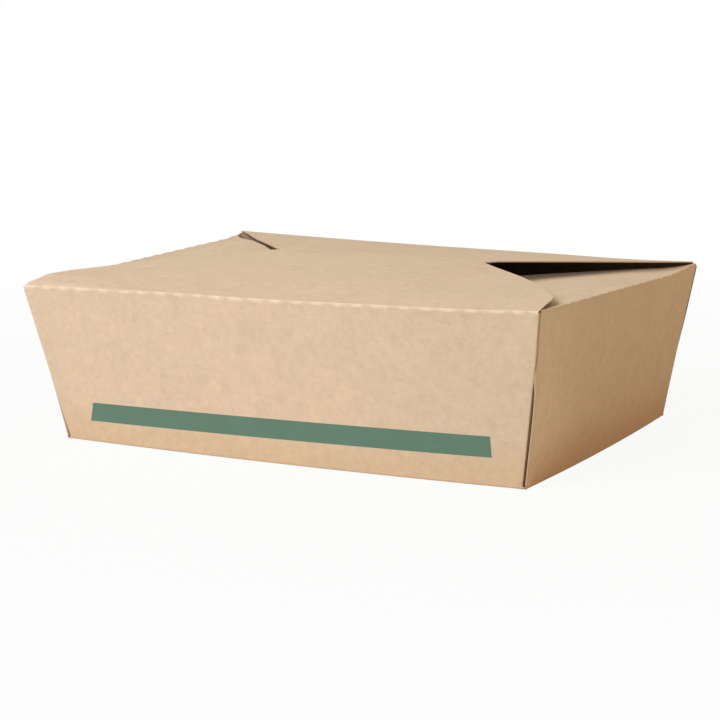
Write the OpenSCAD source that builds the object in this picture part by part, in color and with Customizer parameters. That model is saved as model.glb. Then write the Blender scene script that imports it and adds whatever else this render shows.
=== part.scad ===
// Folded takeaway box: one creased sheet of kraft board with a tapered tub,
// corner webs folded in, two short end flaps, a back flap with a slit, and a
// front lid flap that swings on a perforated crease and tucks a tongue in it.
// Origin: middle of the base's underside. +X along the box, -Y is the front.

/* [Tub] */
// Length over the rim
top_length = 216; // [208:1:226]
// Width over the rim
top_width = 159; // [152:1:168]
// Length over the base fold
base_length = 197; // [188:1:204]
// Width over the base fold
base_width = 138; // [130:1:146]
// Height from the base to the rim
wall_height = 63; // [56:1:72]

/* [Board] */
// Thickness of the board
board = 0.45; // [0.35:0.05:0.6]
// Air left between two layers of a fold
layer_gap = 0.3; // [0.2:0.05:0.5]

/* [Corner webs] */
// Drop of the webs' top edge below the rim
web_drop = 3; // [2:0.5:8]
// Gap between a web's crease and the line that halves the corner
web_set_back = 0.5; // [0:0.1:2]

/* [Perforated folds] */
// Pitch of the perforation
cut_pitch = 8; // [6:0.5:12]
// Length of one cut
cut_length = 4.2; // [2:0.2:5]
// Depth of one cut
cut_depth = 1; // [0.8:0.1:2]

/* [Front lid flap] */
// Depth of the flap from its crease to its free edge
front_flap_depth = 95; // [88:1:102]
// Length of the straight ear beside each end of the crease
ear_length = 20; // [14:1:28]
// Distance of the ear from the end of the rim
ear_inset = 3; // [2:0.5:6]
// Length of the free edge
free_edge_length = 90; // [76:1:110]
// Bulge of the slanted edge between the ear and the free edge
edge_bulge = 3; // [1:0.5:6]
// Radius of the flap's corners
flap_corner_radius = 6; // [2:0.5:10]
// Clearance below the flap where it lies on the folded rim
lid_gap = 0.25; // [0.2:0.05:0.5]

/* [Tongue and slit] */
// Width of the tongue
tongue_width = 40; // [24:1:56]
// Length of the tongue below the lid
tongue_length = 9; // [6:0.5:14]
// Radius of the tongue's lower corners
tongue_radius = 4; // [2:0.5:6]
// Clearance on each side of the tongue in its slit
tongue_clearance = 0.6; // [0.5:0.1:1.2]

/* [Back flap] */
// Board left between the slit and the flap's free edge
slit_margin = 12; // [8:1:20]
// Board left between each end of the tongue and the flap's side edge
slit_side = 11; // [8:0.5:16]
// Angle that the springy flap rises from the rim
back_flap_rise = 3.2; // [0:0.2:5]
// Distance of the flap's root from the end of the rim
back_flap_inset = 1; // [0.5:0.5:4]

/* [End flaps] */
// Depth of each flap along its own slope
end_flap_depth = 58; // [48:1:66]
// Distance of the flap's root from the end of the rim
end_flap_inset = 2.5; // [1.5:0.5:5]
// Angle that the flap droops into the box
end_flap_droop = 3; // [2:0.5:8]
// Angle between the flap's side edge and the rim
end_flap_angle = 45; // [41:0.5:46]

/* [Printed band] */
// Length of the band along its top edge
band_length = 169; // [140:1:180]
// Height of the band
band_height = 8.2; // [5:0.2:12]
// Distance of the band above the base fold
band_rise = 9.8; // [6:0.2:16]
// Shift of the band's middle along the box
band_shift = 1.6; // [-6:0.2:4]
// Slant of the band's left end
band_slant = 2.4; // [0:0.2:5]
// Thickness of the ink as drawn
ink = 0.08; // [0.05:0.01:0.12]

/* [Hidden] */

kraft = [0.82, 0.68, 0.52];
kraft_lid = [0.84, 0.71, 0.56];
band_green = [0.19, 0.40, 0.29];
smooth = 64;
nose_sides = 12;
long_arc_smooth = 360;

// How far each wall leans out between the base and the rim
front_run = (top_width - base_width) / 2;
end_run = (top_length - base_length) / 2;
front_lean = atan2(front_run, wall_height);
end_lean = atan2(end_run, wall_height);
front_slant = norm([front_run, wall_height]);
end_slant = norm([end_run, wall_height]);

// A corner web is folded back on itself, so it and the end wall make a stack
layer_pitch = board + layer_gap;
web_stack = 2 * layer_pitch;
fold_radius = board + layer_gap / 2 - 0.02;

// Angle from the corner edge to the web's crease, in the plane of the end wall
front_edge_angle = atan2(end_run, front_slant);
end_edge_angle = atan2(front_run, end_slant);
web_angle = (90 - front_edge_angle - end_edge_angle) / 2;
crease_angle = web_angle - end_edge_angle;

// The lid turns about the middle of its own board, just above the front rim
hinge_y = -top_width / 2 + board / 2;
hinge_z = wall_height + lid_gap + board / 2;
// The back flap reaches as far past the lid's free edge as its slit needs.
// The lid slopes up to lie just over the back flap's free edge.
back_flap_depth = top_width - front_flap_depth + slit_margin;
back_edge_y = top_width - board / 2 - back_flap_depth * cos(back_flap_rise);
back_edge_z = back_flap_depth * sin(back_flap_rise);
lid_rise = atan2(back_edge_z, back_edge_y);
bead_radius = board / 2 + 0.02;
root_length = top_length - 2 * ear_inset;
tongue_y = front_flap_depth - board / 2;
slit_reach = (top_width - board / 2 - tongue_y * cos(lid_rise)) / cos(back_flap_rise);

// A board panel: its outline lies on the wall's outer face, x along the wall
// and y up its slope, and the board lies behind it.
module panel(points) {
    translate([0, 0, -board]) linear_extrude(board) polygon(points);
}

// Stands a drawing up as the wall that faces -Y, leaning out over its base fold
module stand_wall(base_offset, lean) {
    translate([0, -base_offset, 0]) rotate([90 + lean, 0, 0]) children();
}

module trapezoid_wall(bottom, top, slant) {
    panel([[-bottom / 2, 0], [bottom / 2, 0], [top / 2, slant], [-top / 2, slant]]);
}

module base_panel() {
    translate([-base_length / 2, -base_width / 2, 0]) cube([base_length, base_width, board]);
}

// The front and back walls stop at the webs that fold in behind the end walls
module long_wall() {
    stand_wall(base_width / 2, front_lean)
        trapezoid_wall(base_length - 2 * web_stack, top_length - 2 * web_stack, front_slant);
}

module end_wall() {
    stand_wall(base_length / 2, end_lean)
        trapezoid_wall(base_width - 2 * fold_radius, top_width - 2 * fold_radius, end_slant);
}

// A rounded fold along a line of the wall, at a depth behind its outer face
module fold_nose(from, to, depth) {
    run = to - from;
    translate([from.x, from.y, -depth]) rotate([0, 0, atan2(run.y, run.x)]) rotate([0, 90, 0])
        cylinder(h = norm(run), r = fold_radius, $fn = nose_sides);
}

// One corner web: two layers behind the end wall, joined along their crease.
// It is drawn at the left end of the wall that faces -Y.
module corner_web() {
    top = end_slant - web_drop;
    into_wall = fold_radius - board / 2;
    foot = [-base_width / 2 + fold_radius, 0];
    rim_corner = foot + [-top * tan(end_edge_angle), top];
    crease_top = foot + [top * tan(crease_angle) - web_set_back, top];
    stand_wall(base_length / 2, end_lean) {
        translate([0, 0, -layer_pitch]) panel([foot, crease_top, rim_corner]);
        // The inner layer runs on into the middle of the front wall's board
        translate([0, 0, -2 * layer_pitch]) panel([
            foot - [into_wall, 0], crease_top, rim_corner - [into_wall, 0]]);
        fold_nose(foot, rim_corner, board + layer_gap / 2);
        fold_nose(foot, crease_top, board + layer_gap / 2 + layer_pitch);
    }
}

// Places a flap's drawing at the rim: y runs in from the fold, z = 0 is its top face
module at_rim(offset, droop) {
    translate([0, -offset, wall_height]) rotate([-droop, 0, 0]) children();
}

// A row of perforation cuts, centred along the fold
module cut_row(length) {
    count = floor(length / cut_pitch);
    for (i = [0 : count - 1])
        translate([(i - (count - 1) / 2) * cut_pitch, 0, 0])
            cube([cut_length, cut_depth, cut_depth], center = true);
}

// Rounds the free corners of a flap's outline, and leaves its root square
module round_flap(root, radius) {
    offset(r = radius, $fn = smooth) offset(delta = -radius) children();
    intersection() {
        children();
        translate([-root / 2, 0]) square([root, 2 * radius]);
    }
}

module end_flap_outline() {
    root = top_width - 2 * end_flap_inset;
    edge = root / 2 - end_flap_depth / tan(end_flap_angle);
    round_flap(root, min(flap_corner_radius, edge))
        polygon([[-root / 2, 0], [root / 2, 0], [edge, end_flap_depth], [-edge, end_flap_depth]]);
}

module end_flap() {
    at_rim(top_length / 2, end_flap_droop)
        translate([0, 0, -board]) linear_extrude(board) end_flap_outline();
}

module back_flap_outline() {
    root = top_length - 2 * back_flap_inset;
    edge = tongue_width / 2 + slit_side;
    difference() {
        round_flap(root, flap_corner_radius)
            polygon([[-root / 2, 0], [root / 2, 0], [edge, back_flap_depth], [-edge, back_flap_depth]]);
        // The slit that takes the lid's tongue
        translate([0, slit_reach])
            square([tongue_width + 4 * tongue_clearance, board + 2 * tongue_clearance], center = true);
    }
}

module back_flap() {
    at_rim(top_width / 2, -back_flap_rise)
        translate([0, 0, -board]) linear_extrude(board) back_flap_outline();
}

module end_side() {
    end_wall();
    corner_web();
    mirror([1, 0, 0]) corner_web();
    end_flap();
}

module carton() {
    color(kraft) difference() {
        union() {
            base_panel();
            long_wall();
            rotate(180) {
                long_wall();
                back_flap();
            }
            for (turn = [90, 270]) rotate(turn) end_side();
        }
        // Every rim fold is perforated
        rotate(180) at_rim(top_width / 2, 45) cut_row(top_length - 2 * cut_pitch);
        for (turn = [90, 270])
            rotate(turn) at_rim(top_length / 2, 45) cut_row(top_width - 2 * cut_pitch);
    }
}

// Disc whose rim is the bulging slanted edge on the flap's right side
module edge_disc() {
    ear_end = [root_length / 2, ear_length];
    free_end = [free_edge_length / 2, front_flap_depth];
    chord = norm(free_end - ear_end);
    radius = (chord * chord / 4 + edge_bulge * edge_bulge) / (2 * edge_bulge);
    across = (free_end - ear_end) / chord;
    inward = [-across.y, across.x];
    centre = (ear_end + free_end) / 2 + inward * (radius - edge_bulge);
    translate(centre) circle(radius, $fn = long_arc_smooth);
}

module front_flap_outline() {
    round_flap(root_length, flap_corner_radius) intersection() {
        translate([-root_length / 2, 0]) square([root_length, front_flap_depth]);
        union() {
            intersection() {
                edge_disc();
                mirror([1, 0]) edge_disc();
            }
            translate([-root_length / 2, 0]) square([root_length, ear_length]);
        }
    }
}

module tongue_outline() {
    side = tongue_width / 2 - tongue_radius;
    translate([-tongue_width / 2, 0]) square([tongue_width, tongue_length - tongue_radius]);
    translate([-side, 0]) square([2 * side, tongue_length]);
    for (x = [-side, side])
        translate([x, tongue_length - tongue_radius]) circle(tongue_radius, $fn = smooth);
}

// The lid flap, with the crease cut through wherever the perforation runs
module front_flap() {
    color(kraft_lid) translate([0, hinge_y, hinge_z]) rotate([lid_rise, 0, 0]) {
        difference() {
            union() {
                translate([0, 0, -board / 2]) linear_extrude(board) front_flap_outline();
                translate([-root_length / 2, 0, 0]) rotate([0, 90, 0])
                    cylinder(h = root_length, r = bead_radius, $fn = smooth);
            }
            cut_row(root_length - cut_pitch);
        }
        translate([0, tongue_y + board / 2, 0]) rotate([-90, 0, 0])
            translate([0, 0, -board]) linear_extrude(board) tongue_outline();
    }
}

// The printed band lies on the outer face of the front wall
module green_band() {
    left = band_shift - band_length / 2;
    right = band_shift + band_length / 2;
    color(band_green) stand_wall(base_width / 2, front_lean)
        linear_extrude(ink) polygon([
            [left - band_slant, band_rise], [right, band_rise],
            [right, band_rise + band_height], [left, band_rise + band_height]]);
}

carton();
front_flap();
green_band();
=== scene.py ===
# %% [markdown]
# # A folded takeaway box
# The box is one creased sheet of kraft board. Its base, four walls, corner webs, end flaps
# and back flap are modelled as one sheet, drawn on its outer face and thickened at the end.
# The front lid flap is a second sheet, because it turns at its crease.
# The CAD model is loaded first, and every piece is drawn at the place that it gives.

# %% The frame
import math
import bmesh
import bpy
from mathutils import Matrix, Vector


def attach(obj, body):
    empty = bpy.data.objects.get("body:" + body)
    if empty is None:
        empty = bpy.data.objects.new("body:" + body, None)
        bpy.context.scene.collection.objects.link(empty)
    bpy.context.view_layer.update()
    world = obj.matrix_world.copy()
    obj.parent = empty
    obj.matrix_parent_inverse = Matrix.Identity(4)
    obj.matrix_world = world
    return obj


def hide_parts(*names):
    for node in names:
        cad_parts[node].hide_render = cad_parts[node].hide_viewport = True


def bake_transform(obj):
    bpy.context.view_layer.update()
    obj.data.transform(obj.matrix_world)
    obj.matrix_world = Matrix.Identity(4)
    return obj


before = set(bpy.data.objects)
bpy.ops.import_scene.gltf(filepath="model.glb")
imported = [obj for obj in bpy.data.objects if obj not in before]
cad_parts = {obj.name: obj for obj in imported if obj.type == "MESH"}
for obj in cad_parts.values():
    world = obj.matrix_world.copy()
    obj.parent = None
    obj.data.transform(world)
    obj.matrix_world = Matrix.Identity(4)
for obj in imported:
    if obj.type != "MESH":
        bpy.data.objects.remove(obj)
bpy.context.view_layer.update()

# %% [markdown]
# ## Sizes
# All lengths are in metres, so millimetres are written as a number times mm. They are the
# sizes of the CAD model: a tub that widens from its base to its rim, in 0.45 mm board. Rim and
# base are halves, from the middle. The nose is the radius at which board turns in behind the
# side edge of a wall, and the web stack is how deep the folded web lies behind an end wall.
# A hair is how far off a place may be when a point is looked for.

# %% Sizes of the box
mm = 0.001
hair = 0.01 * mm
rim = Vector((216, 159)) / 2 * mm
base = Vector((197, 138)) / 2 * mm
height = 63 * mm
board = 0.45 * mm
base_fold, rim_fold = 0.8 * mm, 0.8 * mm
nose = 0.6 * mm
web_stack = 1.5 * mm
crease_y, crease_z = -rim.y + board / 2, height + 0.475 * mm
print("board", board / mm, "mm, wall", height / mm, "mm high")

# By hand one would click on an edge. Here nothing stays selected between steps, and the edges
# or faces that a step needs are picked by a test on their place, which holds when a size
# changes.

# %% Selecting by place
def deselect():
    """Leaves nothing selected, also none of the CAD nodes."""
    if bpy.context.object and bpy.context.object.mode == "EDIT":
        bpy.ops.object.mode_set(mode="OBJECT")
    bpy.ops.object.select_all(action="DESELECT")


def pick(kind, test):
    """Selects only the edges or faces that pass the test, and returns how many did."""
    bpy.ops.mesh.select_mode(type=kind)
    bpy.ops.mesh.select_all(action="DESELECT")
    shape = bmesh.from_edit_mesh(bpy.context.object.data)
    found = [part for part in {"EDGE": shape.edges, "FACE": shape.faces}[kind] if test(part)]
    for part in found:
        part.select_set(True)
    shape.select_flush_mode()
    bmesh.update_edit_mesh(bpy.context.object.data)
    return len(found)


def middle(part):
    """The middle of an edge or a face."""
    return sum((point.co for point in part.verts), Vector()) / len(part.verts)


deselect()
print("selected:", len(bpy.context.selected_objects), "objects")

# %% [markdown]
# Every piece starts as a flat sheet of board: a grid, so that it can bend later. A plane with
# a Subdivision modifier would do too, but its corners would shrink. It is sized and placed in
# edit mode, so that the object itself stays at the origin, unturned and unscaled.

# %% Starting a sheet
def add_sheet(name, cells, half, centre):
    """A flat sheet of board, as a grid of cells, left in edit mode."""
    deselect()
    print(name, "starts", round(2 * half[0] / mm), "by", round(2 * half[1] / mm), "mm")
    bpy.ops.mesh.primitive_grid_add(x_subdivisions=cells[0], y_subdivisions=cells[1], size=2)
    piece = bpy.context.object
    piece.name = piece.data.name = name
    bpy.ops.object.mode_set(mode="EDIT")
    bpy.ops.mesh.select_all(action="SELECT")
    bpy.ops.transform.resize(value=(half[0], half[1], 1), center_override=(0, 0, 0))
    bpy.ops.transform.translate(value=centre)
    return piece


# %% [markdown]
# ## Profiles of the folds
# Board can't fold to a sharp line. Each fold is an arc of about a millimetre, so that the
# light runs over it. A bevel could round the folds later, but a list of rows for each wall
# also says where the sheet may bend: how far out a row lies, how far up, and how long it is.

# %% Rounding a fold
def rounded_fold(before, fold, after, radius, steps=4):
    """Points of the arc that rounds a fold between two straight stretches of a profile."""
    back, onward = (before - fold).normalized(), (after - fold).normalized()
    half_angle = back.angle(onward) / 2
    centre = fold + (back + onward).normalized() * radius / math.sin(half_angle)
    arm = fold + back * radius / math.tan(half_angle) - centre
    turn = (math.pi - 2 * half_angle) / steps
    return [centre + Matrix.Rotation(turn * step, 2) @ arm for step in range(steps + 1)]


slit_rows = (63.35, 65.05)
wall_rows = [1.2, 2, 3.5, 6, 10, 15, 20, 25, 30, 35, 40, 45, 50, 54, 57.5, 60, 61.3]


def wall_profile(base_out, rim_out):
    """Rows of a wall from its base fold to just below its rim fold, in the (out, up) plane."""
    foot, top = Vector((base_out, 0)), Vector((rim_out, height))
    arc = rounded_fold(Vector((0, 0)), foot, top, base_fold)
    return arc + [foot.lerp(top, row * mm / height) for row in wall_rows]


def flap_profile(rim_out, wall_top, slope, depth, corner):
    """Rows of the rim fold and of the flap behind it, which falls or rises by its slope."""
    fold = Vector((rim_out, height))
    inward = Vector((-math.cos(slope), math.sin(slope)))
    arc = rounded_fold(wall_top, fold, fold + inward, rim_fold)
    rows = [2, 3.5, 6] + list(range(10, int(depth / mm) - 6, 5))
    if depth > slit_rows[1] * mm:
        rows = [row for row in rows if row < slit_rows[0]] + list(slit_rows)
    tip = [depth / mm - corner * (1 - math.cos(math.radians(a))) for a in (45, 34, 23, 12, 0)]
    return arc, [fold + inward * row * mm for row in rows + tip]


print("rows in a wall:", len(wall_profile(base.x, rim.x)))

# %% [markdown]
# ## The tub
# The base is a grid. Each wall is raised from one side of it: the row of edges is extruded,
# moved to the next row of the profile and scaled to its length, as one would by hand.
# The same moves go on over the rim fold into the end flaps and the back flap.

# %% Raising the sides
columns = (108, 80)


def half_length(side_axis, row):
    """Half the length of a wall's row, at the height of that row."""
    other = 1 - side_axis
    return base[other] + (rim[other] - base[other]) * min(row.y / height, 1)


def raise_rows(axis, sign, start, rows):
    """Extrudes the picked edges through the rows, and scales each row to its length."""
    out, up, half = start
    for row in rows:
        move = [0, 0, row[1] - up]
        move[axis] = sign * (row[0] - out)
        scale = [1, 1, 1]
        scale[1 - axis] = row[2] / half
        bpy.ops.mesh.extrude_edges_move(TRANSFORM_OT_translate={"value": move})
        bpy.ops.transform.resize(value=scale, center_override=(0, 0, 0))
        out, up, half = row
    return len(rows)


base_flat = [rounded_fold(Vector((0, 0)), Vector((base[i], 0)), Vector((rim[i], height)),
                          base_fold)[0].x for i in (0, 1)]
tub = add_sheet("tub_board", columns, base_flat, (0, 0, 0))
bpy.ops.mesh.flip_normals()
print("base grid:", len(bmesh.from_edit_mesh(tub.data).faces), "faces")

# %% [markdown]
# Every side is one list of rows. The end walls stop a fold's radius before the corner, and
# the front and back walls stop at the webs, which lie folded behind the end walls. A flap
# narrows by 45 degrees from its root and has rounded corners, whose radius is in millimetres.

# %% Side by side
foot_row, side_row = 0.9 * mm, 1.19 * mm
end_flap = {"slope": math.radians(-3), "depth": 58 * mm, "root": 77 * mm, "corner": 6}
back_flap = {"slope": math.radians(3.2), "depth": 76 * mm, "root": 107 * mm, "corner": 6}


def smooth(low, high, value):
    """0 below low, 1 above high, and a smooth step between them."""
    t = min(max((value - low) / (high - low), 0), 1)
    return t * t * (3 - 2 * t)


def side_rows(axis, set_back, flap=None):
    """All rows of one side: base fold, wall, rim fold and flap."""
    profile = wall_profile(base[axis], rim[axis])
    rows = [(p.x, p.y, half_length(axis, p) - set_back * smooth(foot_row, side_row, p.y))
            for p in profile[1:]]
    if not flap:
        top = Vector((rim[axis], height))
        return rows + [(top.x, top.y, half_length(axis, top) - set_back)]
    arc, leaf = flap_profile(rim[axis], profile[-1], flap["slope"], flap["depth"], flap["corner"])
    wall_half = half_length(axis, arc[0]) - set_back
    for step, p in enumerate(arc):
        rows.append((p.x, p.y, wall_half - (wall_half - flap["root"]) * (step / len(arc)) ** 2))
    tip = flap["root"] - flap["depth"]
    tangent = flap["corner"] * math.tan(math.radians(22.5)) * mm
    for p in leaf:
        deep = math.hypot(p.x - rim[axis], p.y - height)
        into = (deep - flap["depth"]) / (flap["corner"] * mm) + 1
        if into > math.cos(math.radians(46)):
            half = tip - tangent + flap["corner"] * mm * math.sqrt(max(1 - into ** 2, 0))
        else:
            half = flap["root"] - deep
        rows.append((p.x, p.y, half))
    return rows


sides = [("front", 1, -1, web_stack + nose, None), ("right", 0, 1, nose, end_flap),
         ("back", 1, 1, web_stack + nose, back_flap), ("left", 0, -1, nose, end_flap)]
shape = bmesh.from_edit_mesh(tub.data)
shape.verts.layers.int.new("side")
for number, (name, axis, sign, set_back, flap) in enumerate(sides, 1):
    found = pick("EDGE", lambda edge: edge.is_boundary and abs(
        middle(edge)[axis] - sign * base_flat[axis]) < hair and middle(edge).z < hair)
    rows = side_rows(axis, set_back, flap)
    raise_rows(axis, sign, (base_flat[axis], 0, base_flat[1 - axis]), rows)
    shape = bmesh.from_edit_mesh(tub.data)
    mark = shape.verts.layers.int["side"]
    for point in shape.verts:
        if point.co.z > hair and not point[mark]:
            point[mark] = number
    print(name, "side:", found, "edges,", len(rows), "rows")

# %% [markdown]
# ## Corner webs
# Between two walls the sheet is one gusset. It is folded flat behind the end wall: round
# the end wall's side edge, along to the web's own crease, and back to the front wall. It
# could be drawn flat and bent by an armature. But each of its folds is a turn about a line,
# so the spin operator makes them all, and their angles follow from the slants of the walls.

# %% Turning a row of edges about a line
def spin_edges(steps, degrees, centre, axis):
    """Spins the picked edges about a line, and leaves the new row picked.
    The operator counts its angle clockwise, so it is given the other sign."""
    bpy.ops.mesh.spin(steps=steps, angle=-math.radians(degrees), center=centre, axis=axis)


end_run, front_run = rim.x - base.x, rim.y - base.y
end_slant, front_slant = math.hypot(end_run, height), math.hypot(front_run, height)
end_edge_angle = math.degrees(math.atan2(front_run, end_slant))
front_edge_angle = math.degrees(math.atan2(end_run, front_slant))
web_angle = (90 - end_edge_angle - front_edge_angle) / 2
print("a web turns by", round(web_angle, 1), "degrees at the foot of its corner")


web_drop = 1.6 * mm
web_turns = (6, 5, 3, 5)


def fold_web(x_sign, y_sign):
    """Folds one corner web in behind the end wall, from the end wall's side edge."""
    out = Vector((x_sign * height, 0, -end_run)).normalized()
    edge = Vector((x_sign * end_run, y_sign * front_run, height)).normalized()
    foot = Vector((x_sign * base.x, y_sign * (base.y - nose), 0))
    turn = x_sign * y_sign

    def on_edge(part):
        place = middle(part) - foot
        return part.is_boundary and place.cross(edge).length < board and place.z > side_row

    found = pick("EDGE", on_edge)
    spin_edges(web_turns[0], turn * 180, foot - out * nose, edge)
    deep_foot = foot - out * 2 * nose
    bpy.ops.mesh.select_mode(type="EDGE")
    shape = bmesh.from_edit_mesh(tub.data)
    for part in shape.edges:
        if part.select and max(point.co.z for point in part.verts) > height - web_drop:
            part.select_set(False)
    shape.select_flush_mode()
    bmesh.update_edit_mesh(tub.data)
    spin_edges(web_turns[1], turn * web_angle, deep_foot, out)
    crease = Matrix.Rotation(math.radians(turn * web_angle), 3, out) @ edge
    inner = (web_stack - 2 * nose) / 2
    spin_edges(web_turns[2], -turn * 180, deep_foot - out * inner, crease)
    spin_edges(web_turns[3], -turn * web_angle, deep_foot - out * 2 * inner, out)
    return found


for x_sign in (-1, 1):
    for y_sign in (-1, 1):
        print("web", x_sign, y_sign, "from", fold_web(x_sign, y_sign), "edges")

# %% [markdown]
# The side edges of the front and back walls turn in by a quarter turn and meet the webs.
# This rounded edge is what shows beside the slit at each corner of the real box.

# %% Turning in the side edges
def turn_in(x_sign, y_sign):
    """Rounds one side edge of the front or back wall towards the web behind it."""
    out = Vector((0, y_sign * height, -front_run)).normalized()
    edge = Vector((x_sign * end_run, y_sign * front_run, height)).normalized()
    foot = Vector((x_sign * (base.x - web_stack - nose), y_sign * base.y, 0))

    def on_edge(part):
        place = middle(part) - foot
        return part.is_boundary and place.cross(edge).length < 2 * hair and place.z > side_row

    found = pick("EDGE", on_edge)
    spin_edges(4, -x_sign * y_sign * 90, foot - out * nose, edge)
    return found


for x_sign in (-1, 1):
    for y_sign in (-1, 1):
        print("side edge", x_sign, y_sign, "from", turn_in(x_sign, y_sign), "edges")

# %% [markdown]
# The lid's tongue locks in a slit near the free edge of the back flap. A boolean would cut it,
# but the flap already has two rows at the slit's sides, so the faces between them go.

# %% The slit in the back flap
slit_half = 21.2 * mm
found = pick("FACE", lambda face: abs(middle(face).x) < slit_half and middle(face).z > height
             and slit_rows[0] * mm < rim.y - middle(face).y < slit_rows[1] * mm)
bpy.ops.mesh.delete(type="FACE")
bpy.ops.object.mode_set(mode="OBJECT")
print("slit:", found, "faces cut out; tub:", len(tub.data.polygons), "faces")

# %% [markdown]
# ## The lid flap
# The lid is a flat sheet first. Its outline bulges all the way from the ear to the free
# edge, so straight cuts with the bisect operator trim it, as a knife would trim the board.

# %% Trimming the lid to its outline
lid_depth, lid_half = 95 * mm, 48 * mm
lid_top = crease_z + board / 2
lid_outline = [(107.3, 0), (105.9, 10), (104.6, 18.5), (103, 23.5), (98.5, 31), (92.8, 39.9),
               (82.6, 53), (72.4, 64.6), (57, 80.2), (44.5, 91.8), (40.6, 94.1), (36.5, 95)]
lid = add_sheet("lid_flap", (108, 48), (108 * mm, lid_half), (0, crease_y + lid_half, lid_top))


def trim(near, far, x_sign):
    """Cuts off what lies outside the line between two points of the lid's outline."""
    start = Vector((x_sign * near[0] * mm, crease_y + near[1] * mm, lid_top))
    end = Vector((x_sign * far[0] * mm, crease_y + far[1] * mm, lid_top))
    run = (end - start).normalized() * x_sign
    bpy.ops.mesh.select_all(action="SELECT")
    bpy.ops.mesh.bisect(plane_co=start, plane_no=(run.y, -run.x, 0), clear_outer=True,
                        threshold=0.1 * hair)


for near, far in zip(lid_outline, lid_outline[1:] + [(0, lid_depth / mm)]):
    for x_sign in (-1, 1):
        trim(near, far, x_sign)
print("lid:", len(bmesh.from_edit_mesh(lid.data).faces), "faces after trimming")

# %% [markdown]
# The tongue that tucks in the back flap's slit is extruded down from the middle of the free
# edge: each of its rows goes down, onward, and narrower. The root is rolled over the crease
# with a spin, and the whole lid is then tilted about the crease.

# %% Tongue, crease and tilt
tongue_half = 20 * mm
tongue_rows = ((0.1, 0.35, 1), (0.35, 0.25, 1), (1.5, 0, 1), (4, 0, 1), (1.4, 0, 0.98),
               (0.9, 0, 0.95), (0.5, 0, 0.88))
lid_rise, root_roll = math.radians(2.93), 100
free_edge = crease_y + lid_depth
pick("EDGE", lambda edge: edge.is_boundary and abs(middle(edge).y - free_edge) < 2 * hair
     and abs(middle(edge).x) < tongue_half)
for down, onward, scale in tongue_rows:
    bpy.ops.mesh.extrude_edges_move(
        TRANSFORM_OT_translate={"value": (0, onward * mm, -down * mm)})
    bpy.ops.transform.resize(value=(scale, 1, 1), center_override=(0, 0, 0))
pick("EDGE", lambda edge: edge.is_boundary and abs(middle(edge).y - crease_y) < 2 * hair)
spin_edges(4, root_roll, (0, crease_y, crease_z), (1, 0, 0))
root_low = min(point.co.z for point in bmesh.from_edit_mesh(lid.data).verts
               if point.co.y < crease_y)
bpy.ops.mesh.extrude_edges_move(TRANSFORM_OT_translate={"value": (0, 0, height - root_low)})
bpy.ops.mesh.select_all(action="SELECT")
bpy.ops.transform.rotate(value=-lid_rise, orient_axis="X",
                         center_override=(0, crease_y, crease_z))
bpy.ops.object.mode_set(mode="OBJECT")
heights = [point.co.z for point in lid.data.vertices]
print("lid from", round(min(heights) / mm, 2), "to", round(max(heights) / mm, 2), "mm high")

# %% [markdown]
# ## The printed band
# The band is ink on the front wall. A mask in the wall's material would show it too, but a
# thin strip just off the board keeps a sharp edge, and it takes every bow of the wall. It is
# cut slanted at its left end, and it was printed half a degree askew.

# %% The strip of ink
band_low, band_high = 9.85 * mm, 17.6 * mm
band_tilt = math.radians(0.59)
band_left, band_right, band_slant = -83 * mm, 86.3 * mm, 2.4 * mm
ink = 0.03 * mm
band = add_sheet("printed_band", (84, 4), ((band_right - band_left) / 2,
                 (band_high - band_low) / 2), ((band_right + band_left) / 2, 0, 0))
pick("EDGE", lambda edge: edge.is_boundary and abs(middle(edge).x - band_left) < hair)
for point in bmesh.from_edit_mesh(band.data).verts:
    if point.select:
        point.co.x -= band_slant * (band_high - band_low - 2 * point.co.y) / (
            band_high - band_low) / 2
front_lean = math.atan2(front_run, height)
bpy.ops.mesh.select_all(action="SELECT")
bpy.ops.transform.rotate(value=-band_tilt, orient_axis="Z", center_override=(0, 0, 0))
bpy.ops.transform.rotate(value=-(math.pi / 2 + front_lean), orient_axis="X",
                         center_override=(0, 0, 0))
up_slope = (band_low + band_high) / 2
bpy.ops.transform.translate(value=(
    0, -base.y - up_slope * math.sin(front_lean) - ink * math.cos(front_lean),
    up_slope * math.cos(front_lean) - ink * math.sin(front_lean)))
bpy.ops.object.mode_set(mode="OBJECT")
print("band: middle at", [round(v / mm, 1) for v in sum(
    (p.co for p in band.data.vertices), Vector()) / len(band.data.vertices)])

# %% [markdown]
# ## Folding isn't perfect
# Board springs back: the rim is twisted, the front rim sags, the lower folds bow out, and the
# lid and the back flap stand up. A cloth simulation would spring back in a way of its own. So
# each of these is written as a small move that depends on where a point is in the neat
# drawing, fitted to the photograph's outline. All pieces go through the same moves, so they
# stay together. This part counts in millimetres, and h goes from 0 at the base to 1 at the rim.

# %% The twist of the whole tub
def along(stops, value):
    """A value read from a list of (place, value) stops, with straight lines between them."""
    for (low, start), (high, end) in zip(stops, stops[1:]):
        if value <= high:
            return start + (end - start) * max(value - low, 0) / (high - low)
    return stops[-1][1]


half_rim, half_base = ([round(half / mm, 3) for half in size] for size in (rim, base))
rim_x, rim_y = half_rim
rim_up = round(height / mm, 3)
corner_lift = {"front left": -1.6, "front right": 2.5, "back right": -2.8, "back left": -0.2}


def twist(x, y, h):
    """No two corners of the rim stand equally high, and two of the corners lean sideways."""
    u, v = (x / rim_x + 1) / 2, (y / rim_y + 1) / 2
    front = corner_lift["front left"] * (1 - u) + corner_lift["front right"] * u
    back = corner_lift["back left"] * (1 - u) + corner_lift["back right"] * u
    lean = -1.3 * h * (1 - u) * (1 - v) ** 2 + (0.75 + 0.3 * h * h) * u * v ** 2
    return Vector((lean, 0, (front * (1 - v) + back * v) * h))


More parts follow.
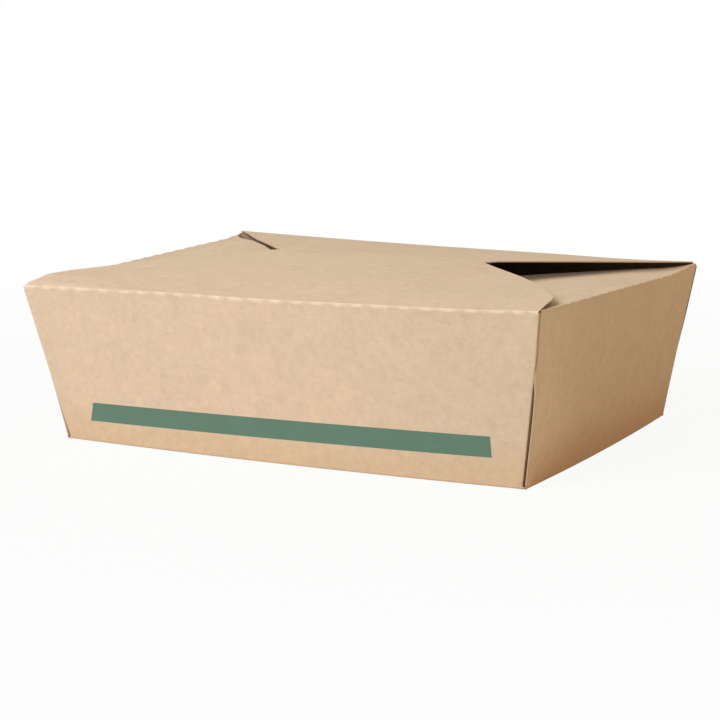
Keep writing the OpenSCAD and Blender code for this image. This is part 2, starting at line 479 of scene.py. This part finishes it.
print("the rim's corners stand between", min(corner_lift.values()), "and", max(
    corner_lift.values()), "mm off level")

# %% [markdown]
# The four lower folds are not straight lines either: each bows out in its middle. The edge of
# the base goes with its fold, so the base's points near it take a share of the same move.
# Each row of the list is a side's number, its axis and sign, its bow, and where on the base
# the bow starts and is full. Sides are numbered from the front anticlockwise, seen from above;
# 0 is the base and 5 the lid.

# %% The bowed lower folds
foot_bows = [(1, 1, -1, 3, 20, 69), (2, 0, 1, 1.9, 30, 98),
             (3, 1, 1, 1.5, 20, 69), (4, 0, -1, 1, 30, 98)]


def bow_foot(side, place, h):
    """How far the lower folds, and the base beside them, bow out."""
    move = Vector((0, 0, 0))
    for number, axis, sign, bow, start, full in foot_bows:
        if side in (0, number):
            other = 1 - axis
            middle_share = 1 - (place[other] / half_base[other]) ** 2
            move[axis] += sign * bow * middle_share * (1 - h) * smooth(
                start, full, sign * place[axis])
    return move


print("the lower folds bow by", [row[3] for row in foot_bows], "mm, from the front round")

# %% [markdown]
# A perforated fold is cut through and held by bridges. Each bridge stands a little proud, so
# the fold looks crimped. The front crease and both end rims are such folds.

# %% Crimped folds
pitch = 8.5
crease_at = (-79.3, 63.3)


def crimp(run):
    """The bridges of a perforated fold: 0 to 1 and back, once in a pitch."""
    return 0.5 + 0.5 * math.sin(2 * math.pi * run / pitch + 1.1 * math.sin(run / 17))


def crimped_crease(x, y, z):
    """The ridge of bridges on the front crease, which the wall and the lid share."""
    off_crease = math.hypot(y - crease_at[0], z - crease_at[1])
    ridge = 0.15 * crimp(x) * (1 - smooth(0.5, 1.6, off_crease))
    return Vector((0, -ridge, ridge))


def crimped_rim(y, z, deep):
    """The bridges on the rim of an end wall."""
    fold = 1 - smooth(0.5, 2, math.hypot(deep, z - rim_up))
    return Vector((0, 0, 0.3 * fold * (crimp(y) - 0.5)))


print("bridges on the front crease:", round(2 * rim_x / pitch))

# %% [markdown]
# The side edges of the front and back wall spread towards the corner, so that they nearly
# cover the web. The lists give by how much at each height, for the left and the right edge.
# The front rim also sags, and the lid's root sags with it, because they are one fold.

# %% The front wall and its rim
edge_spread = {
    -1: [(1, 0), (3, 0.3), (12, 1.15), (26, 1.45), (40, 1.7), (63, 1.8)],
    1: [(1, 0.2), (12.7, 0.69), (23.5, 0.91), (34, 1.15), (43, 1.42), (53, 1.27), (63, 1.2)]}


def spread_edge(x, z, stops):
    """The side edge of the front or back wall, moved out towards its corner."""
    x_side = 1 if x > 0 else -1
    return Vector((x_side * along(stops, z) * smooth(88, 106, abs(x)), 0, 0))


def front_sag(x, y, h):
    """The front rim sags most right of its middle."""
    sag = 0.4 + 0.8 * smooth(-50, 5, x) * (1 - 0.7 * smooth(80, 106, x))
    return Vector((0, 0, -sag * h ** 3 * (1 - smooth(-79, -40, y))))


print("the front rim sags by up to", -round(front_sag(5, -rim_y, 1).z, 2), "mm")

# %% [markdown]
# The back flap is the one that stands up most. It was pressed less flat than the others, it
# curls up near its right edge, and its left edge is held down.

# %% The back wall and its flap
def back_moves(x, y, z, h):
    """The back side's own moves: its side edges, its raised flap, and the flap's curls."""
    move = spread_edge(x, z, edge_spread[-1]) * (1 - smooth(61.4, 63, z))
    in_flap = rim_y - y
    stand = 1.7 + 0.9 * (x / rim_x) ** 2 - 0.5 * math.exp(-((x - 80) / 25) ** 2)
    move.z += stand * h ** 3 * smooth(0, 60, y)
    move.z += 0.00029 * in_flap ** 2 * h ** 3 * smooth(38, 47, x)
    move.z -= 1.1 * smooth(5, 22, in_flap) * smooth(40, 65, -x) * h ** 3
    return move


print("the back flap stands up by", round(back_moves(0, 70, 63, 1).z, 2), "mm in its middle")

# %% [markdown]
# The end walls lie over the webs. At the front right corner the wall's edge swings out from
# its web, and the slit opens. Each end flap is free at its back, so it rests a little high
# there: deep is how far into the flap a point lies.

# %% The end walls and their flaps
slit_bow = [(0, 0.7), (1.9, 0.98), (12.7, 1.55), (23.5, 1.77), (34, 1.65), (43, 0.45), (50, 0.1),
            (63, 0)]
right_rim = [(50, 0), (60, 0.57), (70, 1.4), (79.5, 2.1)]


def end_moves(side, x, y, z, h):
    """The moves of an end side: its edges, its crimped rim, and its flap."""
    deep = rim_x - abs(x)
    move = crimped_rim(y, z, deep)
    covered = 1.2 * smooth(38, 48, z) if x > 0 and y < 0 else 0.6 * smooth(1, 8, z)
    move.y -= (1 if y > 0 else -1) * smooth(66, 78, abs(y)) * covered
    if side == 2:
        move.x += along(slit_bow, z) * smooth(62, 78, -y) * smooth(0, 1.5, z)
        move.z += along(right_rim, y) * h ** 3 * (1 - smooth(0, 15, deep))
        rest = 0.75 + 0.027 * deep
        move.z += rest * h ** 3 * smooth(3, 15, deep) * smooth(-30, 20, y)
    else:
        move.z += (0.5 * smooth(-70, -30, y) + 0.6 * smooth(66, 77, y)) * h ** 3
        rest = 3.2 * smooth(2, 26, deep) + smooth(24, 36, deep)
        move.z += rest * h ** 3 * smooth(-5, 32, y)
    return move


print("the left end flap rests", round(end_moves(4, -60, 25, 63, 1).z, 2), "mm high at its back")

# %% [markdown]
# The lid arches, and its ears curl where they leave the crease: the left one up, the right
# one up and then down. The lists give the curl by the distance from the crease.

# %% The lid
left_ear = [(0, 0), (0.5, 0.5), (1.6, 0.85), (4.9, 1.2), (7, 1.15), (8.1, 1.25), (11.3, 1.8),
            (15.5, 1.5), (18.8, 1.1), (21.5, 0.95), (28.5, 0.38), (33, 0.13), (38, -0.1), (45, 0)]
right_ear = [(0, 0), (10, 0.4), (18.5, 0.2), (23.5, -0.25), (31, -0.7), (40, -1.05), (53, -1.0),
             (65, -1.0), (80, -1.0), (92, -1.0), (95, -0.8)]


def lid_moves(x, y):
    """The arch of the lid, its two curled ears, and its left tip, which stands up a little."""
    back = y - crease_at[0]
    lift = 1.1 * math.sin(math.pi * min(back * mm / lid_depth, 1))
    lift += along(left_ear, back) * smooth(55, 100, -x)
    lift += along(right_ear, back) * smooth(30, 60, x)
    lift += 0.4 * smooth(60, 85, back) * smooth(25, 50, -x)
    return Vector((0, 0, lift))


print("the lid arches by", round(lid_moves(0, crease_at[0] + lid_depth / mm / 2).z, 2), "mm")

# %% [markdown]
# The moves are added up, and each piece's points are moved once. The neat place of each point
# is kept as an attribute first, because the materials measure their marks on it.

# %% Moving every point to where it lies
def relaxed(place, side):
    """Where a point of the neat drawing lies on the springy box."""
    x, y, z = place / mm
    h = min(z / rim_up, 1)
    move = twist(x, y, h) + bow_foot(side, (x, y), h)
    if side in (1, 5):
        move += front_sag(x, y, h) + crimped_crease(x, y, z)
    if side == 1:
        move += spread_edge(x, z, edge_spread[1 if x > 0 else -1])
    if side == 3:
        move += back_moves(x, y, z, h)
    if side in (2, 4):
        move += end_moves(side, x, y, z, h)
    if side == 5:
        move += lid_moves(x, y)
    return place + move * mm


def relax(piece, side=None):
    """Keeps each point's drawn place for the materials, then moves it to its relaxed one."""
    mesh = piece.data
    drawn = mesh.attributes.new("drawn", "FLOAT_VECTOR", "POINT")
    marks = mesh.attributes["side"].data if side is None else None
    most = 0
    for point in mesh.vertices:
        drawn.data[point.index].vector = point.co
        number = marks[point.index].value if marks else side
        place = relaxed(point.co.copy(), number)
        most = max(most, (place - point.co).length)
        point.co = place
    print(piece.name, "moved by up to", round(most / mm, 2), "mm")


relax(tub)
relax(lid, 5)
relax(band, 1)

# %% [markdown]
# ## Thickness
# Board has a thickness that shows at every cut edge. It could be modelled as a second sheet
# joined to the first, but the sheets are drawn on their outer face, so Solidify can add the
# inner one. It needs three material slots: the face, the raw rim and the inside. Cut board is
# paler and rougher than its face, and the inside of the box is a darker kraft.

# %% Giving the board its thickness
smooth_below = math.radians(35)


def give_board(piece, thickness):
    """Thickens a sheet inwards, and applies it."""
    deselect()
    piece.select_set(True)
    bpy.context.view_layer.objects.active = piece
    for slot in ("face", "rim", "inside"):
        piece.data.materials.append(None)
    layer = piece.modifiers.new("board", "SOLIDIFY")
    layer.thickness, layer.offset = thickness, -1
    layer.use_even_offset = True
    layer.material_offset_rim, layer.material_offset = 1, 2
    bpy.ops.object.modifier_apply(modifier=layer.name)
    bpy.ops.object.shade_smooth_by_angle(angle=smooth_below)
    print(piece.name, "has", len(piece.data.polygons), "faces")


for piece, thickness in ((tub, board), (lid, board), (band, ink)):
    give_board(piece, thickness)

# %% [markdown]
# ## Node maths
# A material is easier to read as a sum than as a list of links. A small class wraps a
# socket, so that mask * 0.5 + 0.2 adds the Math nodes by itself.

# %% Writing materials as expressions
class Wire:
    """A socket that can be used in sums. Each operator adds one Math node."""

    def __init__(self, finish, socket):
        self.finish, self.socket = finish, socket

    def maths(self, operation, *values):
        return self.finish.node("Math", {"operation": operation}, dict(enumerate(values)))

    def __add__(self, other): return self.maths("ADD", self, other)
    def __radd__(self, other): return self.maths("ADD", other, self)
    def __sub__(self, other): return self.maths("SUBTRACT", self, other)
    def __rsub__(self, other): return self.maths("SUBTRACT", other, self)
    def __mul__(self, other): return self.maths("MULTIPLY", self, other)
    def __rmul__(self, other): return self.maths("MULTIPLY", other, self)
    def size(self): return self.maths("ABSOLUTE", self)
    def lower(self, other): return self.maths("MINIMUM", self, other)
    def higher(self, other): return self.maths("MAXIMUM", self, other)
    def sine(self): return self.maths("SINE", self)

    def step(self, low, high):
        """0 at low, 1 at high, and smooth between them."""
        return self.finish.node("MapRange", {"interpolation_type": "SMOOTHSTEP"},
                                {"Value": self, "From Min": low, "From Max": high})

    def parts(self):
        """The X, Y and Z of a vector."""
        return [self.finish.node("SeparateXYZ", None, {"Vector": self}, axis) for axis in "XYZ"]


def srgb(red, green, blue):
    """A colour as a picture names it, in the linear values that a socket takes."""
    return tuple(((c / 255 + 0.055) / 1.055) ** 2.4 if c > 10 else c / 255 / 12.92
                 for c in (red, green, blue)) + (1,)


kraft = srgb(226, 198, 165)
print("kraft as a socket takes it:", [round(c, 3) for c in kraft[:3]])

# %% [markdown]
# The nodes themselves come from one method, for a material and for the world alike. Mixing
# two colours and laying noise over the board are done so often that they get names.

# %% A finish and its nodes
class Finish:
    """A material or a world, and its nodes."""

    def __init__(self, owner):
        self.owner = owner
        self.owner.use_nodes = True
        self.tree = self.owner.node_tree
        self.tree.nodes.clear()

    def node(self, kind, settings=None, inputs=None, output=0):
        """Adds a node, sets it, and joins or fills its sockets."""
        node = self.tree.nodes.new("ShaderNode" + kind)
        for name, value in (settings or {}).items():
            setattr(node, name, value)
        for key, value in (inputs or {}).items():
            if isinstance(value, Wire):
                self.tree.links.new(value.socket, node.inputs[key])
            else:
                node.inputs[key].default_value = value
        return Wire(self, node.outputs[output]) if len(node.outputs) else None

    def mix(self, share, first, second, blend="MIX"):
        """Mixes two colours."""
        return self.node("Mix", {"data_type": "RGBA", "blend_type": blend},
                         {0: share, 6: first, 7: second}, 2)

    def shade(self, share, colour, tint):
        """Darkens a colour by a tint, by as much as the share says."""
        return self.mix(share, colour, tint + (1,), "MULTIPLY")

    def noise(self, place, scale, detail=2, roughness=0.5, distortion=0):
        """Clouds from 0 to 1, with so many of them in a metre."""
        return self.node("TexNoise", None, {
            "Vector": place, "Scale": scale, "Detail": detail, "Roughness": roughness,
            "Distortion": distortion})

    def screen_ray(self):
        """1 for what the camera sees, also by a reflection or through glass."""
        seen, mirrored, through = (self.node("LightPath", output=f"Is {ray} Ray")
                                   for ray in ("Camera", "Glossy", "Transmission"))
        return seen.higher(mirrored).higher(through)

    def end(self, **sockets):
        """Joins a Principled surface to the output."""
        surface = self.node("BsdfPrincipled", None, {
            name.replace("_", " "): value for name, value in sockets.items()})
        self.node("OutputMaterial", None, {"Surface": surface})
        print(self.owner.name, "has", len(self.tree.nodes), "nodes")
        return self.owner


print("a finish has the methods", [name for name in vars(Finish) if name[0] != "_"])

# %% [markdown]
# ## Kraft board
# Kraft is unbleached pulp. Its colour clouds over a centimetre, its fibres lie along the
# sheet, and rare specks of bark are darker. A photograph of board could be wrapped round the
# box, but noises in the board's own coordinates have no seams and look sharp from near.

# %% Pulp, fibres and specks
cloud_scale, patch_scale, pulp_scale = 55, 210, 420
fibre_scale = (260, 1500, 1500)
bark_brown = srgb(122, 84, 52)


def kraft_grain(finish, face):
    """The colour of plain board, and the three noises that the other layers use."""
    place = finish.node("TexCoord", output="Object")
    cloud = finish.noise(place, cloud_scale, 3, 0.6)
    patch = finish.noise(place, patch_scale, 3, 0.6)
    pulp = finish.noise(place, pulp_scale, 4, 0.65)
    along_sheet = finish.node("Mapping", None, {"Vector": place, "Scale": fibre_scale})
    fibre = finish.noise(along_sheet, 1, 3, distortion=0.6)
    tone = (cloud - 0.5) * 0.3 + (patch - 0.5) * 0.5 + (pulp - 0.5) * 0.4 + (fibre - 0.5) * 0.3
    dark, pale = (tuple(c * share for c in face[:3]) + (1,) for share in (0.8, 1.2))
    colour = finish.mix(tone + 0.5, dark, pale)
    bark = finish.node("TexVoronoi", None, {"Vector": place, "Scale": 210}).step(0.10, 0.06)
    rare = finish.noise(place, 90).step(0.58, 0.66)
    return finish.mix(bark * rare * 0.35, colour, bark_brown), cloud, pulp, fibre


print("the clouds are about", round(1000 / cloud_scale), "mm wide, the pulp", round(
    1000 / pulp_scale, 1), "mm")

# %% [markdown]
# The other layers are marks of folding, and painted shade: the shade that soft light leaves in
# narrow folds, under the back flap, at the foot and over the walls.
# They are measured on the neat drawing, which each point remembers, so they follow the sheet.
# The distances are from the front wall's plane and from the end wall's plane, both inwards,
# and wall is 1 below the rim.

# %% Distances on the neat drawing
def sheet_places(finish):
    """X, Y and Z in the drawing, the distances from the walls' planes, and the wall mask."""
    x, y, z = finish.node("Attribute", {"attribute_name": "drawn"}, output="Vector").parts()
    from_end = x.size() - z * ((rim.x - base.x) / height) - base.x
    from_side = y.size() - z * ((rim.y - base.y) / height) - base.y
    return x, y, z, from_end, from_side, z.step(62.9 * mm, 62.4 * mm)


print("an end wall leans out", round((rim.x - base.x) / height, 3), "of its height")

# %% [markdown]
# The front crease is perforated. Where a bridge holds, the board is rubbed pale, and the line of
# them looks dashed. The foot of the walls is painted darker and browner, as painted shade towards
# the floor.

# %% The worn crease and the painted shade at the foot
crease_worn, crease_clean = 0.2 * mm, 1.1 * mm


def foot_shade_and_crease_wear(finish, colour, wear_colour, spots, cloud, pulp):
    """Adds painted shade at the foot of the walls, and the pale dashes of the crease."""
    x, y, z = spots[:3]
    # Painted shade: the walls darken and brown towards the floor, clouded a little.
    foot = z.step(20 * mm, 0) * (cloud * 0.6 + 0.7)
    colour = finish.shade(foot * 0.6, colour, (0.88, 0.80, 0.66))
    off_front, off_crease = y + 79.4 * mm, z - 63.3 * mm
    crease = (off_front * off_front + off_crease * off_crease).step(
        crease_clean ** 2, crease_worn ** 2)
    bridge = (x * (2 * math.pi / (pitch * mm)) + cloud * 8).sine().step(-1, 1)
    colour = finish.mix(crease * (bridge * 0.5 + 0.08) * (pulp + 0.5), colour, wear_colour)
    return colour, foot


print("worn to", crease_worn / mm, "mm from the crease, clean from", crease_clean / mm, "mm")

# %% [markdown]
# At each corner the sheet turns in behind the end wall, and light hardly reaches in there.
# The real fold is tighter than a mesh of this size can be, so its dark side is in the finish.
# It fades out towards the rim, where the slit closes.

# %% The dark side of the corner folds
tuck_dark, tuck_pale = 41 * mm, 48 * mm


def corner_shade(finish, colour, spots):
    """Darkens the rolled edge of the end wall, and the side of the web that is tucked in."""
    x, y, z, from_end, from_side, wall = spots
    rolled = (from_end.step(-0.05 * mm, -0.4 * mm) * from_end.step(-1.45 * mm, -1.25 * mm)
              * y.step(0, -10 * mm))
    colour = finish.shade(rolled * wall * 0.9, colour, (0.72, 0.66, 0.58))
    turned = from_side.step(-0.1 * mm, -0.45 * mm) * z.step(tuck_pale, tuck_dark)
    deep = turned + from_side.step(-0.3 * mm, -0.9 * mm)
    tucked = (deep.lower(1) * from_side.step(-5 * mm, -3 * mm) * from_end.step(-0.7 * mm, -1 * mm)
              * from_end.step(-3.5 * mm, -2.5 * mm) * (x.step(-20 * mm, 20 * mm) * 0.7 + 0.3))
    return finish.shade(tucked * wall * 0.95, colour, (0.4, 0.28, 0.18))


print("the slit is dark up to", round(tuck_dark / mm), "mm and closed from", round(
    tuck_pale / mm), "mm")

# %% [markdown]
# The back flap keeps the light off the back part of the right end flap. The shade starts
# soft and brown, and is nearly black at the flap's edge, over the open gap.

# %% The shade on the right end flap
shade_at_rim, shade_spread = 22 * mm, 0.55


def flap_shade(finish, colour, spots):
    """Two layers of shade, by how near a point is to the free back edge of the flap."""
    x, y, z = spots[:3]
    in_flap = rim.x - x
    off_edge = end_flap["root"] - in_flap - y
    reach = in_flap * shade_spread + shade_at_rim - off_edge
    on_flap = (z.step(59 * mm, 60 * mm) * z.step(63.3 * mm, 63 * mm)
               * off_edge.step(-2 * mm, -1 * mm) * in_flap.step(0.6 * mm, 2 * mm)
               * in_flap.step(62 * mm, 58 * mm))
    colour = finish.shade(reach.step(0, 30 * mm) * on_flap * 0.6, colour, (0.7, 0.45, 0.25))
    return finish.shade(reach.step(8 * mm, 32 * mm) * on_flap * 0.95, colour,
                        (0.05, 0.03, 0.02))


print("the shade reaches", round(shade_at_rim / mm), "mm from the flap's edge at the rim")

# %% [markdown]
# Two faint falls in tone are painted shade on the walls: the end walls are greyer and redder
# towards the back, and the front wall a little darker towards the right. The foot of the end
# walls is painted darker still.

# %% The painted shade of the walls
shade_front, shade_back = -75 * mm, -20 * mm


def painted_wall_shade(finish, colour, spots, foot):
    """Painted shade: the falls in tone over the end walls and the front wall, and a darker foot
    on the end walls.
    """
    x, y, z, from_end, from_side, wall = spots
    # Painted shade, where the light falls off over the walls and at their foot.
    end_wall = from_end.step(-0.9 * mm, -0.05 * mm) * wall
    colour = finish.shade(end_wall * y.step(shade_front, shade_back), colour, (0.94, 0.915, 0.94))
    front_wall = from_side.step(-0.9 * mm, -0.05 * mm) * wall * y.step(0, -10 * mm)
    colour = finish.shade(front_wall * x.step(20 * mm, 80 * mm) * z.step(0, 15 * mm), colour,
                          (0.955, 0.955, 0.96))
    return finish.shade(foot * end_wall * 0.6, colour, (0.9, 0.8, 0.76))


print("the end wall falls in tone over", round((shade_back - shade_front) / mm), "mm")

# %% [markdown]
# Now the layers are stacked into a finish. Fibres and pulp make a fine bump, and the clouds
# a wide and shallow one, so that the board isn't quite flat under a low light.

# %% Four finishes of kraft board
def kraft_board(name, face, wear_colour):
    """Unbleached board: its grain, its worn crease, its painted shade at the foot, in the folds,
    on the end flap and over the walls, and its bump.
    """
    finish = Finish(bpy.data.materials.new(name))
    colour, cloud, pulp, fibre = kraft_grain(finish, face)
    spots = sheet_places(finish)
    colour, foot = foot_shade_and_crease_wear(finish, colour, wear_colour, spots, cloud, pulp)
    colour = corner_shade(finish, colour, spots)
    colour = flap_shade(finish, colour, spots)
    colour = painted_wall_shade(finish, colour, spots, foot)
    bump = finish.node("Bump", None, {"Strength": 0.35, "Distance": 0.12 * mm,
                                      "Height": fibre * 0.6 + pulp * 0.4})
    swell = finish.node("Bump", None, {"Strength": 0.5, "Distance": 0.9 * mm,
                                       "Height": cloud, "Normal": bump})
    return finish.end(Base_Color=colour, Roughness=0.82 + (pulp - 0.5) * 0.2, Normal=swell)


face_wear, edge_wear = srgb(250, 228, 200), srgb(236, 212, 182)
board_face = kraft_board("kraft_board", kraft, face_wear)
# Painted light: the lid is the same board as the tub, but its kraft is made a little paler so
# that its top comes out brighter.
lid_face_lightened = kraft_board("kraft_lid", srgb(229, 201, 168), face_wear)
board_edge = kraft_board("cut_edge", srgb(200, 168, 132), edge_wear)
board_inside = kraft_board("kraft_inside", srgb(176, 146, 112), edge_wear)

# %% [markdown]
# ## Green ink
# The print is one flat colour. Soft board drinks it unevenly, so it clouds a little between
# two greens, and the pulp shows through as a fine bump.

# %% Green ink
def green_ink():
    """Flat ink that soaks into the board, so it clouds a little with the pulp."""
    finish = Finish(bpy.data.materials.new("green_ink"))
    place = finish.node("TexCoord", output="Object")
    cloud, pulp = finish.noise(place, 70, 3), finish.noise(place, 900, 3)
    colour = finish.mix(cloud * 0.6 + pulp * 0.5, srgb(79, 113, 91), srgb(101, 135, 113))
    bump = finish.node("Bump", None, {"Strength": 0.3, "Distance": 0.1 * mm, "Height": pulp})
    return finish.end(Base_Color=colour, Roughness=0.7 + (pulp - 0.5) * 0.2, Normal=bump)


ink_face = green_ink()

# %% [markdown]
# ## What each piece stands for
# Every piece takes its three finishes, and says which CAD node it replaces and which body it
# moves with. The tub and the band are attached to their body, and the lid's place is written into
# its points.

# %% Finishes and bodies
for piece, finishes, body, slot, node in (
        (tub, (board_face, board_edge, board_inside), "tub", "kraft_board", "carton"),
        (lid, (lid_face_lightened, board_edge, board_inside), "lid", "lid_board", "front_flap"),
        (band, (ink_face, ink_face, ink_face), "tub", "green_ink", "green_band")):
    for slot_number, finish in enumerate(finishes):
        piece.data.materials[slot_number] = finish
    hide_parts(node)
    if piece == lid:
        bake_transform(piece)
    else:
        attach(piece, body)
    print(piece.name, "rides on", body)

# %% [markdown]
# ## Camera
# The camera's place was solved from the seven corners of the box that the photograph shows.
# It is a long lens from the front right, so the far side shrinks only a little. A camera can
# be aimed with a constraint, but its turn is written out here, because it also rolls a little.

# %% The camera at the photograph's angle
azimuth, elevation, roll = (math.radians(a) for a in (28.233, 10.485, -0.706))
aim, distance = Vector((-4.12, 0, 26.91)) * mm, 829.877 * mm
film_width, lens = 36, 103.58
back = Vector((math.sin(azimuth) * math.cos(elevation), -math.cos(azimuth) * math.cos(elevation),
               math.sin(elevation)))
right = (-back).cross(Vector((0, 0, 1))).normalized()
up = right.cross(-back)
right, up = (math.cos(roll) * right + math.sin(roll) * up,
             -math.sin(roll) * right + math.cos(roll) * up)
place = Matrix((right, up, back)).transposed().to_4x4()
place.translation = aim + back * distance
camera = bpy.data.objects.new("camera", bpy.data.cameras.new("camera"))
bpy.context.scene.collection.objects.link(camera)
camera.data.sensor_width, camera.data.lens = film_width, lens
camera.data.clip_start = 10 * mm
camera.matrix_world = place
bpy.context.scene.camera = camera
bpy.context.scene.view_settings.view_transform = "Standard"
print("camera", [round(v, 3) for v in camera.matrix_world.translation])

# %% [markdown]
# ## Lamps and world
# The photograph is a white studio: one big soft lamp at the front left, light from all
# around, and a warm bounce that reaches the end wall. Two area lamps and a tinted world give
# that. The world lights the box, but the camera sees it as plain white.

# %% Lamps and world
box_middle = Vector((0, 0, 0.03))


def soft_lamp(name, place, size, power, colour):
    """A square area lamp that looks at the box."""
    lamp = bpy.data.lights.new(name, "AREA")
    lamp.size, lamp.energy, lamp.color = size, power, colour
    holder = bpy.data.objects.new(name, lamp)
    bpy.context.scene.collection.objects.link(holder)
    holder.location = place
    holder.rotation_euler = (box_middle - Vector(place)).to_track_quat("-Z", "Y").to_euler()
    print(name, "lamp:", power, "W,", round((box_middle - Vector(place)).length, 2), "m away")


soft_lamp("key", (-0.7, -1.5, 1.3), 0.9, 38, (0.79, 0.785, 1.0))
soft_lamp("warm side", (1.5, 0.35, 0.35), 0.8, 2.9, (1.0, 0.25, 0.05))
studio = Finish(bpy.data.worlds.new("studio"))
bpy.context.scene.world = studio.owner
fill = studio.node("Background", None, {"Color": (0.965, 1.0, 0.654, 1), "Strength": 0.37})
white = studio.node("Background", None, {"Color": (1, 1, 1, 1)})
studio.node("OutputWorld", None, {"Surface": studio.node(
    "MixShader", None, {0: studio.screen_ray(), 1: fill, 2: white})})

# %% [markdown]
# ## Floor
# The floor is almost white to the camera near the box, so that only a faint contact shadow
# stays, and quite white farther off. To the box it is a matt pale card that bounces light.

# %% Floor
deselect()
bpy.ops.mesh.primitive_plane_add(size=6)
floor = bpy.context.object
floor.name = "floor"
card = Finish(bpy.data.materials.new("pale_floor"))
from_box = card.node("VectorMath", {"operation": "LENGTH"},
                     {0: card.node("TexCoord", output="Object")}, "Value")
whiteness = 0.93 + from_box.step(0.15, 0.6) * 0.07
matt = card.node("BsdfDiffuse", None, {"Color": (0.76, 0.75, 0.65, 1)})
glow = card.node("Emission", None, {"Color": (1, 1, 1, 1)})
card.node("OutputMaterial", None, {"Surface": card.node(
    "MixShader", None, {0: card.screen_ray() * whiteness, 1: matt, 2: glow})})
floor.data.materials.append(card.owner)
print("floor:", [round(side, 1) for side in floor.dimensions[:2]], "m")

# %% [markdown]
# ## Size
# The visual model should fill the CAD model's box, apart from its small bows and bends.
